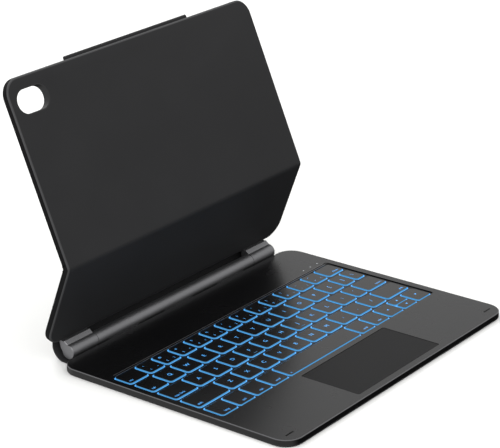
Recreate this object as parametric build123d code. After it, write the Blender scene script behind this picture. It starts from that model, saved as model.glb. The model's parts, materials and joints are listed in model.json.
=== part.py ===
from build123d import *
import math
import os

# Tablet keyboard case: a thin keyboard deck, a hinge barrel along its rear edge, and a
# two-part folding back that holds a tablet above the keys.
# Millimetres. Origin: middle of the deck's flat underside. +X right, +Y rear, +Z up.

# ---------------------------------------------------------------- driving dimensions
# deck
deck_width = 251.0
deck_depth = 185.0
deck_height = 5.0
deck_corner_radius = 12.5
deck_top_chamfer = 0.45
deck_bottom_round = 1.2
underskin_thickness = 0.8
underskin_lip = 0.6
frame_wall = 2.2
roof_thickness = 1.0

# key field
column_pitch = 17.7
row_pitch = 18.5
field_left_margin = 6.65
field_rear_margin = 55.4
key_gap = 2.6
row_gap = 3.1
field_columns = 13.30
escape_columns = 1.13
number_columns = 0.935
bracket_columns = 0.77
caps_lock_columns = 1.375
quote_columns = 0.73
left_shift_columns = 1.88
space_columns = 4.6
rear_row_depth = 13.7
key_corner_radius = 1.9
key_height = 1.6
key_wall = 0.9
key_inner_radius = 0.3
key_top_thickness = 0.7
key_top_below_deck = 0.05
key_edge_round = 0.2
key_travel = 1.0
arrow_split = 0.9
guide_clearance = 0.25
mask_clearance = 0.95
mask_thickness = 0.15
mask_below_deck = 0.7
well_side_margin = 1.75
well_right_margin = 2.8
well_front_margin = 1.3
well_rear_margin = 1.3
well_step_width = 1.5
well_step_depth = 0.3
well_corner_radius = 2.4
key_plate_thickness = 0.3
membrane_thickness = 0.2
linkage_height = 1.1
linkage_size = 8.6
linkage_band = 0.9
linkage_inset = 0.6
dome_radius = 1.5
dome_height = 1.0
dome_gap = 0.2
dome_top_share = 0.6
board_clearance = 0.1

# trackpad
trackpad_width = 93.7
trackpad_depth = 44.3
trackpad_offset_x = 1.5
trackpad_front_margin = 5.2
trackpad_corner_radius = 1.2
trackpad_thickness = 1.2
trackpad_below_deck = 0.1
trackpad_gap = 0.25
trackpad_travel = 0.4
trackpad_edge_chamfer = 0.15
trackpad_board_inset = 3.0
trackpad_board_thickness = 0.8
trackpad_board_radius = 1.0
trackpad_button_radius = 2.5
trackpad_button_gap = 0.05

# electronics
battery_width = 62.0
battery_depth = 40.0
battery_height = 2.3
battery_corner_radius = 2.0
battery_rear_shift = 1.0
main_board_width = 130.0
main_board_depth = 22.0
main_board_thickness = 0.8
main_board_x = 10.0
main_board_front_shift = 3.0
chip_size = 6.0
chip_height = 0.9
chip_pitch = 28.0
chip_count = 4
port_width = 9.0
port_height = 3.2
port_length = 7.3
port_wall = 0.3
port_back_wall = 0.8
port_tongue = 0.7
port_tongue_width = 6.6
port_tongue_inset = 0.8
port_lift = 0.1
port_from_rear = 26.0
switch_from_rear = 52.0
switch_length = 3.4
switch_height = 1.4
switch_depth = 2.6
switch_travel = 2.0
switch_gap = 0.1
switch_recess = 0.3
switch_edge_chamfer = 0.3
switch_lift = 0.2

# indicators, bumpers, screws
lens_radius = 0.45
lens_pitch = 8.3
lens_right_margin = 12.0
lens_from_rear = 34.7
lens_count = 3
bumper_length = 8.0
bumper_width = 1.1
bumper_depth = 0.6
bumper_side_margin = 11.0
bumper_front_margin = 8.5
screw_radius = 0.7
screw_head_radius = 1.2
screw_head_height = 0.4
screw_length = 2.2
boss_radius = 1.9
boss_side_inset = 5.5
boss_end_inset = 8.0
boss_root = 0.2
skin_gap = 0.3
cut_margin = 1.0

# hinge barrel
barrel_length = 220.4
barrel_radius = 5.0
barrel_gap = 0.65
barrel_axis_height = 6.53
barrel_end_fillet = 0.5
knuckle_length = 25.0
knuckle_gap = 0.3
shaft_radius = 2.6
shaft_clearance = 0.05
bush_wall = 0.8
bush_length = 24.0
tongue_thickness = 1.6
tongue_length = 18.0
tongue_side_inset = 2.5
bracket_width = 30.0
bracket_depth = 16.0
bracket_thickness = 1.6
bracket_spacing = 58.0
bracket_drop = 0.3
shaft_end_wall = 3.0
tongue_root = 2.0
leaf_top_share = 0.66
leaf_front_step = 1.9
leaf_edge_round = 0.2

# folding back
back_thickness = 5.0
back_face_offset = 6.9
back_bottom_offset = 4.87
lower_lean = -20.5
upper_lean = 23.5
lower_length = 63.0
upper_length = 125.0
lower_corner_radius = 13.0
upper_corner_radius = 12.0
inner_skin_thickness = 0.9
outer_skin_thickness = 1.0
back_edge_wall = 1.5
back_front_chamfer = 0.6
back_rear_round = 0.9
crease_gap = 0.15
crease_back_travel = 16.5
crease_relief = 0.5
crease_hinge_web = 3.0

# crease hinges
crease_knuckle_radius = 1.55
crease_pin_radius = 0.75
crease_pin_clearance = 0.05
crease_notch_clearance = 0.3
crease_hinge_length = 36.0
crease_hinge_spacing = 150.0
crease_leaf_thickness = 0.9
crease_leaf_length = 13.0
crease_segment_gap = 0.2

# camera opening, magnets, stylus flap
camera_width = 28.0
camera_height = 16.0
camera_side_margin = 6.4
camera_top_margin = 8.7
camera_ring_wall = 0.8
magnet_length = 12.0
magnet_width = 5.0
magnet_thickness = 1.4
magnet_clearance = 0.1
magnet_pitch = 25.0
magnet_columns = 9
magnet_row_low = 28.0
magnet_row_top_margin = 34.0
flap_length = 126.0
flap_depth = 26.0
flap_thickness = 1.8
flap_gap = 0.3
flap_offset_x = 1.5
flap_corner_radius = 4.0
flap_strip_width = 5.0
flap_strip_thickness = 0.8
flap_strip_side_inset = 8.0
flap_strip_edge_inset = 5.0

# spine
spine_thickness = 0.9
spine_bend_radius = 9.6
spine_extra_width = 1.0

# ---------------------------------------------------------------- derived levels and places
frame_low = underskin_thickness + underskin_lip
roof_low = deck_height - roof_thickness
plate_low = underskin_thickness
key_plate_low = frame_low
membrane_low = key_plate_low + key_plate_thickness
membrane_high = membrane_low + membrane_thickness
mask_high = deck_height - mask_below_deck
mask_low = mask_high - mask_thickness
key_high = deck_height - key_top_below_deck
key_low = key_high - key_height

field_left = -deck_width / 2 + field_left_margin
field_rear = deck_depth / 2 - field_rear_margin
field_right = field_left + field_columns * column_pitch
row_count = 5
key_depth = row_pitch - row_gap
field_front = field_rear - (row_count - 1) * row_pitch
field_back = field_rear + rear_row_depth

well_left = field_left - well_side_margin
well_right = field_right + well_right_margin
well_front = field_front - well_front_margin
well_back = field_back + well_rear_margin
well_width = well_right - well_left
well_depth = well_back - well_front
well_x = (well_left + well_right) / 2
well_y = (well_front + well_back) / 2

trackpad_y = -deck_depth / 2 + trackpad_front_margin + trackpad_depth / 2

axis_y = deck_depth / 2 + barrel_gap + barrel_radius
axis_z = barrel_axis_height


def lean_vectors(lean):
    """Up-the-panel and out-of-the-front directions of a panel that leans back by `lean` degrees."""
    angle = math.radians(lean)
    up = Vector(0, math.sin(angle), math.cos(angle))
    front = Vector(0, -math.cos(angle), math.sin(angle))
    return up, front


lower_up, lower_front = lean_vectors(lower_lean)
upper_up, upper_front = lean_vectors(upper_lean)
barrel_axis = Vector(0, axis_y, axis_z)
half_back = back_thickness / 2
crease_axis = (
    barrel_axis
    + lower_up * (back_bottom_offset + lower_length)
    - lower_front * (back_face_offset + half_back)
)

# Panel planes: origin on the crease axis, local X right, local Y up the panel, local Z out of the front.
lower_plane = Plane(origin=crease_axis, x_dir=(1, 0, 0), z_dir=lower_front)
upper_plane = Plane(origin=crease_axis, x_dir=(1, 0, 0), z_dir=upper_front)
stiffener_low = -half_back + outer_skin_thickness
stiffener_high = half_back - inner_skin_thickness
bevel_angle = (upper_lean - lower_lean + crease_back_travel) / 2 + crease_relief

camera_x = -deck_width / 2 + camera_side_margin + camera_width / 2
camera_y = upper_length - camera_top_margin - camera_height / 2

saved = []


def save(name, shape):
    """Write one node's STEP file."""
    parts = shape if isinstance(shape, (list, tuple)) else [shape]
    solids = [solid for part in parts for solid in part.solids()]
    body = solids[0] if len(solids) == 1 else Compound(children=solids)
    body.label = name
    export_step(body, f"parts/{name}.step")
    saved.append(name)


def slab(width, depth, low, high, radius=0.0, x=0.0, y=0.0):
    """Flat block with rounded upright corners, between two heights."""
    outline = RectangleRounded(width, depth, radius) if radius > 0 else Rectangle(width, depth)
    return Pos(x, y, low) * extrude(outline, high - low)


def block(x_low, x_high, y_low, y_high, z_low, z_high):
    """Square block given by its limits."""
    size = (x_high - x_low, y_high - y_low, z_high - z_low)
    middle = ((x_low + x_high) / 2, (y_low + y_high) / 2, (z_low + z_high) / 2)
    return Pos(*middle) * Box(*size)


def rod(radius, length, x=0.0, y=0.0, z=0.0):
    """Cylinder along X, centred on a point."""
    return Pos(x, y, z) * Rot(0, 90, 0) * Cylinder(radius, length)


def post(radius, low, high, x, y):
    """Upright cylinder between two heights."""
    return Pos(x, y, (low + high) / 2) * Cylinder(radius, high - low)


def prism_x(points, length, x=0.0):
    """Solid with a closed outline in the YZ plane, centred on x and `length` long."""
    face = make_face(Polyline(*[(0, y, z) for y, z in points], close=True))
    return Pos(x - length / 2, 0, 0) * extrude(face, length, dir=(1, 0, 0))


# ---------------------------------------------------------------- key field
# Each key: name, column of its left edge, width in columns, and for half-height keys which half.
def row_of(widths, names):
    """Place keys one after another from the left; one more key than widths fills the row to its end."""
    keys = []
    column = 0.0
    for name, width in zip(names, widths):
        keys.append((name, column, width, "full"))
        column += width
    if len(names) > len(widths):
        keys.append((names[-1], column, row_columns - column, "full"))
    return keys


def letter_names(prefix, count):
    """Names of the plain keys of one row."""
    return [f"{prefix}{index + 1}" for index in range(count)]


row_columns = field_columns + key_gap / column_pitch
arrow_columns = (row_columns - 4 - space_columns) / 5
arrow_start = 4 + space_columns + 2 * arrow_columns
number_row = row_of(
    [escape_columns] + [number_columns] * 12, ["escape"] + letter_names("number", 12) + ["delete"]
)
upper_letter_row = row_of([1.0] * 12 + [bracket_columns], ["tab"] + letter_names("upper", 13))
home_row = row_of(
    [caps_lock_columns] + [1.0] * 10 + [quote_columns],
    ["caps_lock"] + letter_names("home", 11) + ["return"],
)
lower_letter_row = row_of(
    [left_shift_columns] + [1.0] * 10, ["left_shift"] + letter_names("lower", 10) + ["right_shift"]
)
bottom_row = row_of(
    [1.0] * 4 + [space_columns] + [arrow_columns] * 3,
    ["language", "control", "left_option", "left_command", "space", "right_command",
     "right_option", "left_arrow"],
)
bottom_row += [
    ("up_arrow", arrow_start + arrow_columns, arrow_columns, "rear"),
    ("down_arrow", arrow_start + arrow_columns, arrow_columns, "front"),
    ("right_arrow", arrow_start + 2 * arrow_columns, arrow_columns, "full"),
]
rows = [number_row, upper_letter_row, home_row, lower_letter_row, bottom_row]


def key_place(row_index, key):
    """Centre and size of one key cap in plan."""
    name, column, width, half = key
    cap_width = width * column_pitch - key_gap
    front = field_rear - row_index * row_pitch
    depth = rear_row_depth if row_index == 0 else key_depth
    if half != "full":
        full_depth = depth
        depth = (full_depth - arrow_split) / 2
        if half == "rear":
            front += full_depth - depth
    x = field_left + column * column_pitch + cap_width / 2
    return x, front + depth / 2, cap_width, depth


def key_radius(width, depth):
    """Corner radius of a cap, smaller on the half-height keys."""
    return min(key_corner_radius, min(width, depth) / 4)


key_places = {}
for row_index, row in enumerate(rows):
    for key in row:
        key_places[key[0]] = key_place(row_index, key)


def key_cap(place):
    """Hollow key cap with a softened top edge."""
    x, y, width, depth = place
    radius = key_radius(width, depth)
    cap = slab(width, depth, key_low, key_high, radius, x, y)
    top_edges = cap.faces().sort_by(Axis.Z)[-1].edges()
    cap = fillet(top_edges, key_edge_round)
    ceiling = key_high - key_top_thickness
    inner_radius = max(radius - key_wall, key_inner_radius)
    return cap - slab(
        width - 2 * key_wall, depth - 2 * key_wall, key_low, ceiling, inner_radius, x, y
    )


def key_holes(low, high, clearance):
    """One cutter per key, larger than its cap by a clearance all round."""
    cutters = []
    for x, y, width, depth in key_places.values():
        radius = key_radius(width, depth) + clearance
        cutters.append(
            slab(width + 2 * clearance, depth + 2 * clearance, low, high, radius, x, y)
        )
    return cutters


def arrow_pair_hole(low, high, clearance):
    """The two half-height arrow keys share one opening in the mask."""
    x, rear_y, width, depth = key_places["up_arrow"]
    front_y = key_places["down_arrow"][1]
    full_depth = rear_y - front_y + depth + 2 * clearance
    radius = key_radius(width, depth) + clearance
    middle = (rear_y + front_y) / 2
    return slab(width + 2 * clearance, full_depth, low, high, radius, x, middle)


def make_keys():
    """Caps of the wide and special keys one by one, the plain keys row by row."""
    special = [
        "escape", "delete", "tab", "caps_lock", "return", "left_shift", "right_shift", "space",
        "left_arrow", "up_arrow", "down_arrow", "right_arrow",
    ]
    for name in special:
        save(f"key_{name}", key_cap(key_places[name]))
    groups = {
        "keys_number_row": letter_names("number", 12),
        "keys_upper_letter_row": letter_names("upper", 13),
        "keys_home_row": letter_names("home", 11),
        "keys_lower_letter_row": letter_names("lower", 10),
        "keys_left_modifiers": ["language", "control", "left_option", "left_command"],
        "keys_right_modifiers": ["right_command", "right_option"],
    }
    for node, names in groups.items():
        save(node, [key_cap(key_places[name]) for name in names])


def make_key_layers():
    """Mask film, light guide grid, membrane, key plate, linkages and rubber domes."""
    inner_width = well_width - 2 * board_clearance
    inner_depth = well_depth - 2 * board_clearance
    radius = well_corner_radius - board_clearance

    mask = slab(inner_width, inner_depth, mask_low, mask_high, radius, well_x, well_y)
    mask -= key_holes(mask_low - cut_margin, mask_high + cut_margin, mask_clearance)
    mask -= arrow_pair_hole(mask_low - cut_margin, mask_high + cut_margin, mask_clearance)
    save("key_mask_film", mask)

    guide = slab(inner_width, inner_depth, membrane_high, mask_low, radius, well_x, well_y)
    guide -= key_holes(membrane_high - cut_margin, mask_low + cut_margin, guide_clearance)
    save("light_guide_grid", guide)

    membrane = slab(inner_width, inner_depth, membrane_low, membrane_high, radius, well_x, well_y)
    save("key_membrane", membrane)
    plate = slab(inner_width, inner_depth, key_plate_low, membrane_low, radius, well_x, well_y)
    save("key_base_plate", plate)

    linkages = []
    domes = []
    for x, y, width, depth in key_places.values():
        link_width = min(linkage_size, width - 2 * (key_wall + linkage_inset))
        link_depth = min(linkage_size, depth - 2 * (key_wall + linkage_inset))
        outer = slab(link_width, link_depth, membrane_high, membrane_high + linkage_height, 0, x, y)
        inner = slab(
            link_width - 2 * linkage_band, link_depth - 2 * linkage_band,
            membrane_high - cut_margin, membrane_high + linkage_height + cut_margin, 0, x, y,
        )
        linkages.append(outer - inner)
        cone_radius = min(dome_radius, link_depth / 2 - linkage_band - dome_gap)
        dome = Pos(x, y, membrane_high + dome_height / 2) * Cone(
            cone_radius, cone_radius * dome_top_share, dome_height
        )
        domes.append(dome)
    save("key_linkages", linkages)
    save("rubber_domes", domes)


# ---------------------------------------------------------------- deck
boss_x = deck_width / 2 - boss_side_inset
boss_y = deck_depth / 2 - boss_end_inset
boss_places = [
    (-boss_x, -boss_y), (boss_x, -boss_y), (-boss_x, boss_y), (boss_x, boss_y),
    (-bracket_spacing / 2, boss_y), (bracket_spacing / 2, boss_y),
]
port_y = deck_depth / 2 - port_from_rear
port_z = deck_height / 2 + port_lift
switch_y = deck_depth / 2 - switch_from_rear
switch_z = deck_height / 2 + switch_lift
bracket_places = [-bracket_spacing, 0.0, bracket_spacing]
bracket_low = deck_height / 2 - bracket_drop
bumper_x = deck_width / 2 - bumper_side_margin
bumper_y = -deck_depth / 2 + bumper_front_margin
bumper_radius = bumper_width * 0.49
lens_places = [
    deck_width / 2 - lens_right_margin - index * lens_pitch for index in range(lens_count)
]
lens_y = deck_depth / 2 - lens_from_rear


def port_space():
    """Space of the charging port, open to the right side."""
    return block(
        deck_width / 2 - port_length, deck_width / 2 + cut_margin,
        port_y - port_width / 2, port_y + port_width / 2,
        port_z - port_height / 2, port_z + port_height / 2,
    )


def switch_space(margin):
    """Path of the power switch knob through the wall, over its travel."""
    return block(
        deck_width / 2 - frame_wall - cut_margin, deck_width / 2 + cut_margin,
        switch_y - switch_length / 2 - margin, switch_y + switch_length / 2 + switch_travel + margin,
        switch_z - switch_height / 2 - margin, switch_z + switch_height / 2 + margin,
    )


def bracket_space():
    """Slots in the rear wall for the barrel brackets."""
    return [
        block(
            x - bracket_width / 2, x + bracket_width / 2,
            deck_depth / 2 - frame_wall - cut_margin, deck_depth / 2 + cut_margin,
            bracket_low, bracket_low + bracket_thickness,
        )
        for x in bracket_places
    ]


def make_deck_top():
    """Top frame: side walls, roof, key well, trackpad opening and the small openings."""
    frame = slab(deck_width, deck_depth, frame_low, deck_height, deck_corner_radius)
    frame = chamfer(frame.faces().sort_by(Axis.Z)[-1].edges(), deck_top_chamfer)
    cavity_radius = deck_corner_radius - frame_wall
    frame -= slab(
        deck_width - 2 * frame_wall, deck_depth - 2 * frame_wall, frame_low - cut_margin, roof_low,
        cavity_radius,
    )
    for x, y in boss_places:
        frame += post(boss_radius, frame_low, roof_low + boss_root, x, y)
    frame -= slab(
        well_width, well_depth, roof_low - cut_margin, deck_height + cut_margin, well_corner_radius,
        well_x, well_y,
    )
    step_y = well_back + well_step_width / 2
    frame -= slab(
        well_width, well_corner_radius * 2 + well_step_width, deck_height - well_step_depth,
        deck_height + cut_margin, well_corner_radius, well_x, step_y - well_corner_radius,
    )
    frame -= slab(
        trackpad_width + 2 * trackpad_gap, trackpad_depth + 2 * trackpad_gap,
        roof_low - cut_margin, deck_height + cut_margin, trackpad_corner_radius + trackpad_gap,
        trackpad_offset_x, trackpad_y,
    )
    frame -= port_space()
    frame -= switch_space(switch_gap)
    frame -= bracket_space()
    for x in lens_places:
        frame -= post(lens_radius, roof_low - cut_margin, deck_height + cut_margin, x, lens_y)
    for side in (-1, 1):
        frame -= slab(
            bumper_length, bumper_width, deck_height - bumper_depth, deck_height + cut_margin,
            bumper_radius, side * bumper_x, bumper_y,
        )
    for x, y in boss_places:
        frame -= post(screw_radius, frame_low - cut_margin, frame_low + screw_length, x, y)
    save("deck_top_frame", frame)


def make_deck_bottom():
    """Underside skin with a turned-up lip, and the metal base plate inside it."""
    skin = slab(deck_width, deck_depth, 0, frame_low, deck_corner_radius)
    skin = fillet(skin.faces().sort_by(Axis.Z)[0].edges(), deck_bottom_round)
    inset = 2 * (underskin_lip + skin_gap)
    inner_radius = deck_corner_radius - inset / 2
    skin -= slab(
        deck_width - inset, deck_depth - inset, underskin_thickness, frame_low + cut_margin,
        inner_radius,
    )
    skin -= port_space()
    save("deck_underside_skin", skin)

    plate = slab(
        deck_width - inset, deck_depth - inset, plate_low, frame_low, inner_radius
    )
    plate -= port_space()
    for x, y in boss_places:
        plate -= post(screw_radius, plate_low - cut_margin, frame_low + cut_margin, x, y)
        plate -= post(screw_head_radius, plate_low - cut_margin, plate_low + screw_head_height, x, y)
    save("deck_base_plate", plate)

    screws = []
    for x, y in boss_places:
        shank = post(screw_radius, plate_low, frame_low + screw_length, x, y)
        head = post(screw_head_radius, plate_low, plate_low + screw_head_height, x, y)
        screws.append(shank + head)
    save("deck_screws", screws)


def make_deck_details():
    """Indicator lenses, corner bumpers, charging port and power switch."""
    lenses = [post(lens_radius, roof_low, deck_height, x, lens_y) for x in lens_places]
    save("indicator_lenses", lenses)

    bumpers = [
        slab(
            bumper_length, bumper_width, deck_height - bumper_depth, deck_height,
            bumper_radius, side * bumper_x, bumper_y,
        )
        for side in (-1, 1)
    ]
    save("corner_bumpers", bumpers)

    mouth = deck_width / 2
    shell = block(
        mouth - port_length, mouth, port_y - port_width / 2, port_y + port_width / 2,
        port_z - port_height / 2, port_z + port_height / 2,
    )
    shell = fillet(shell.edges().filter_by(Axis.X), port_height * 0.48)
    hollow = block(
        mouth - port_length + port_back_wall, mouth + cut_margin,
        port_y - port_width / 2 + port_wall, port_y + port_width / 2 - port_wall,
        port_z - port_height / 2 + port_wall, port_z + port_height / 2 - port_wall,
    )
    hollow = fillet(hollow.edges().filter_by(Axis.X), (port_height - 2 * port_wall) * 0.48)
    tongue = block(
        mouth - port_length + port_back_wall / 2, mouth - port_tongue_inset,
        port_y - port_tongue_width / 2, port_y + port_tongue_width / 2,
        port_z - port_tongue / 2, port_z + port_tongue / 2,
    )
    save("charging_port", shell - hollow + tongue)

    knob = block(
        mouth - switch_depth, mouth - switch_recess, switch_y - switch_length / 2,
        switch_y + switch_length / 2, switch_z - switch_height / 2, switch_z + switch_height / 2,
    )
    outer_edges = knob.faces().sort_by(Axis.X)[-1].edges()
    save("power_switch", chamfer(outer_edges, switch_edge_chamfer))


def make_electronics():
    """Battery cells beside the trackpad and the main board behind the keys."""
    side_space = (deck_width - trackpad_width) / 4 + trackpad_width / 2
    battery_y = trackpad_y + battery_rear_shift
    battery_high = frame_low + battery_height
    for name, x in (("battery_left", -side_space), ("battery_right", side_space)):
        cell = slab(
            battery_width, battery_depth, frame_low, battery_high, battery_corner_radius, x, battery_y
        )
        save(name, cell)
    board_high = frame_low + main_board_thickness
    board_y = (well_back + deck_depth / 2 - frame_wall) / 2 - main_board_front_shift
    board = slab(
        main_board_width, main_board_depth, frame_low, board_high, 1.0, main_board_x, board_y
    )
    for index in range(chip_count):
        chip_x = main_board_x + (index - (chip_count - 1) / 2) * chip_pitch
        board += slab(chip_size, chip_size, board_high, board_high + chip_height, 0, chip_x, board_y)
    save("main_board", board)


def make_trackpad():
    """Clicking glass pad and the switch board under it."""
    pad_high = deck_height - trackpad_below_deck
    pad_low = pad_high - trackpad_thickness
    pad = slab(
        trackpad_width, trackpad_depth, pad_low, pad_high, trackpad_corner_radius,
        trackpad_offset_x, trackpad_y,
    )
    top_edges = pad.faces().sort_by(Axis.Z)[-1].edges()
    save("trackpad_pad", chamfer(top_edges, trackpad_edge_chamfer))
    board_high = frame_low + trackpad_board_thickness
    board = slab(
        trackpad_width - 2 * trackpad_board_inset, trackpad_depth - 2 * trackpad_board_inset,
        frame_low, board_high, trackpad_board_radius, trackpad_offset_x, trackpad_y,
    )
    button_high = pad_low - trackpad_travel - trackpad_button_gap
    button_y = trackpad_y - trackpad_depth / 4
    board += post(trackpad_button_radius, board_high, button_high, trackpad_offset_x, button_y)
    save("trackpad_board", board)


# ---------------------------------------------------------------- hinge barrel
def leaf_outline():
    """Leaf that rises from the knuckle to the bottom edge of the back, in the YZ plane."""
    front = lower_up * back_bottom_offset - lower_front * back_face_offset
    rear = front - lower_front * (back_thickness * leaf_top_share)
    corners = [
        (0.0, barrel_radius * 0.97),
        (front.Y - leaf_front_step, front.Z + leaf_edge_round),
        (front.Y - leaf_edge_round, front.Z - leaf_edge_round / 2),
        (rear.Y, rear.Z - leaf_edge_round / 2),
        (barrel_radius * 1.3, barrel_radius * 0.4),
        (barrel_radius * 0.9, -barrel_radius * 0.3),
        (0.0, 0.0),
    ]
    return [(axis_y + y, axis_z + z) for y, z in corners]


def make_barrel():
    """Fixed tube, end knuckles with leaves, friction shafts, bushes and deck brackets."""
    tube_length = barrel_length - 2 * (knuckle_length + knuckle_gap)
    bush_radius = shaft_radius + shaft_clearance + bush_wall
    tube = rod(barrel_radius, tube_length, 0, axis_y, axis_z)
    tube -= rod(bush_radius, tube_length + cut_margin, 0, axis_y, axis_z)
    save("hinge_barrel", tube)

    shafts = []
    bushes = []
    for name, side in (("left", -1), ("right", 1)):
        knuckle_x = side * (barrel_length - knuckle_length) / 2
        knuckle = rod(barrel_radius, knuckle_length, knuckle_x, axis_y, axis_z)
        knuckle += prism_x(leaf_outline(), knuckle_length, knuckle_x)
        end_face = knuckle.faces().sort_by(Axis.X)[-1 if side > 0 else 0]
        knuckle = chamfer(end_face.outer_wire().edges(), barrel_end_fillet * 0.5)
        tongue_width = knuckle_length - 2 * tongue_side_inset
        tongue = lower_plane * block(
            knuckle_x - tongue_width / 2, knuckle_x + tongue_width / 2,
            -lower_length - tongue_root, -lower_length + tongue_length,
            -tongue_thickness / 2, tongue_thickness / 2,
        )
        knuckle += tongue
        shaft_inner = side * (barrel_length / 2 - knuckle_length - knuckle_gap - bush_length)
        shaft_outer = side * (barrel_length / 2 - shaft_end_wall)
        shaft_x = (shaft_inner + shaft_outer) / 2
        shaft_length = abs(shaft_outer - shaft_inner)
        shaft = rod(shaft_radius, shaft_length, shaft_x, axis_y, axis_z)
        save(f"hinge_knuckle_{name}", knuckle - shaft)
        shafts.append(shaft)
        bush_x = side * (tube_length - bush_length) / 2
        bush = rod(bush_radius, bush_length, bush_x, axis_y, axis_z)
        bush -= rod(
            shaft_radius + shaft_clearance, bush_length + cut_margin, bush_x, axis_y, axis_z
        )
        bushes.append(bush)
    save("hinge_friction_shafts", shafts)
    save("hinge_friction_bushes", bushes)

    brackets = []
    for x in bracket_places:
        bracket = block(
            x - bracket_width / 2, x + bracket_width / 2,
            deck_depth / 2 - bracket_depth, axis_y,
            bracket_low, bracket_low + bracket_thickness,
        )
        brackets.append(bracket - rod(barrel_radius, bracket_width + cut_margin, x, axis_y, axis_z))
    save("hinge_deck_brackets", brackets)


# ---------------------------------------------------------------- spine
def make_spine():
    """Flexible skin that runs from the deck's underside round the barrel to the back."""
    half = spine_thickness / 2
    rear_corner = (
        barrel_axis + lower_up * back_bottom_offset
        - lower_front * (back_face_offset + back_thickness - half)
    )
    bend_z = half + spine_bend_radius
    run = -spine_bend_radius - (bend_z - rear_corner.Z) * -lower_front.Z
    bend_y = rear_corner.Y + run / -lower_front.Y
    bend_end_y = bend_y - lower_front.Y * spine_bend_radius
    bend_end_z = bend_z - lower_front.Z * spine_bend_radius
    middle_angle = math.radians((-lower_lean - 90) / 2)
    middle_y = bend_y + spine_bend_radius * math.cos(middle_angle)
    middle_z = bend_z + spine_bend_radius * math.sin(middle_angle)
    path = Line((0, deck_depth / 2, half), (0, bend_y, half))
    path += ThreePointArc((0, bend_y, half), (0, middle_y, middle_z), (0, bend_end_y, bend_end_z))
    path += Line((0, bend_end_y, bend_end_z), (0, rear_corner.Y, rear_corner.Z))
    width = deck_width - 2 * deck_corner_radius + spine_extra_width
    start = Plane(origin=(0, deck_depth / 2, half), x_dir=(1, 0, 0), z_dir=(0, 1, 0))
    save("spine_skin", sweep(start * Rectangle(width, spine_thickness), path=path))


# ---------------------------------------------------------------- folding back
def panel_outline(width, length, radius, top):
    """Panel outline in its own plane: two rounded corners at the free end, square at the crease."""
    direction = 1 if top else -1
    sketch = Pos(0, direction * length / 2) * Rectangle(width, length)
    corners = sketch.vertices().group_by(Axis.Y)[-1 if top else 0]
    return fillet(corners, radius)


def crease_cutter(top):
    """Removes what would foul the other panel when the back folds at the crease."""
    direction = 1 if top else -1
    rear = half_back + cut_margin
    near = direction * crease_gap
    slope = near + direction * rear * math.tan(math.radians(bevel_angle))
    far = -direction * back_thickness * 4
    points = [(near, rear), (near, 0), (slope, -rear), (far, -rear), (far, rear)]
    return prism_x(points, deck_width + cut_margin)


def crease_notches():
    """Round clearance along the crease axis where the small hinges sit."""
    radius = crease_knuckle_radius + crease_notch_clearance
    length = crease_hinge_length + 2 * crease_notch_clearance
    return [rod(radius, length, side * crease_hinge_spacing / 2) for side in (-1, 1)]


def leaf_block(x, direction, margin):
    """Flat leaf of a crease hinge, inside the panel."""
    near = 0 if margin == 0 else direction * crease_knuckle_radius
    far = direction * (crease_leaf_length + margin)
    half_leaf = crease_leaf_thickness / 2 + margin
    return block(
        x - crease_hinge_length / 2 - margin, x + crease_hinge_length / 2 + margin,
        min(near, far), max(near, far), -half_leaf, half_leaf,
    )


def panel_layers(prefix, plane, length, radius, top, cuts):
    """Outer skin tray, stiffener and inner skin of one panel; `cuts` holds extra cutters by layer."""
    direction = 1 if top else -1
    outline = panel_outline(deck_width, length, radius, top)
    inner_outline = panel_outline(
        deck_width - 2 * back_edge_wall, length - back_edge_wall, radius - back_edge_wall, top
    )
    fold = [crease_cutter(top)] + crease_notches()

    tray = Pos(0, 0, -half_back) * extrude(outline, stiffener_high + half_back)
    rear_edges = tray.faces().sort_by(Axis.Z)[0].edges().filter_by(
        lambda edge: abs(edge.center().Y) > 1
    )
    tray = fillet(rear_edges, back_rear_round)
    tray -= Pos(0, 0, stiffener_low) * extrude(inner_outline, back_thickness)
    save(f"{prefix}_outer_skin", plane * (tray - fold - cuts["tray"]))

    stiffener = Pos(0, 0, stiffener_low) * extrude(inner_outline, stiffener_high - stiffener_low)
    hinge_slots = [
        leaf_block(side * crease_hinge_spacing / 2, direction, 0.02) for side in (-1, 1)
    ]
    save(f"{prefix}_stiffener", plane * (stiffener - fold - hinge_slots - cuts["stiffener"]))

    skin = Pos(0, 0, stiffener_high) * extrude(outline, inner_skin_thickness)
    front_edges = skin.faces().sort_by(Axis.Z)[-1].edges().filter_by(
        lambda edge: abs(edge.center().Y) > 1
    )
    skin = chamfer(front_edges, back_front_chamfer)
    save(f"{prefix}_inner_skin", plane * (skin - fold - cuts["skin"]))


def magnet_places():
    """Magnets in two rows across the panel, clear of the camera opening and the crease."""
    places = []
    for index in range(magnet_columns):
        x = (index - (magnet_columns - 1) / 2) * magnet_pitch
        for y in (magnet_row_low, upper_length - magnet_row_top_margin):
            places.append((x, y))
    return places


def magnet_block(x, y, margin):
    """One bar magnet set into the front of the stiffener."""
    return block(
        x - magnet_length / 2 - margin, x + magnet_length / 2 + margin,
        y - magnet_width / 2 - margin, y + magnet_width / 2 + margin,
        stiffener_high - magnet_thickness - margin, stiffener_high,
    )


def camera_stadium(margin, low, high):
    """Camera opening grown by a margin, through a stretch of the panel's thickness."""
    height = camera_height + 2 * margin
    outline = SlotOverall(camera_width + 2 * margin, height)
    return Pos(camera_x, camera_y, low) * extrude(outline, high - low)


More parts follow.
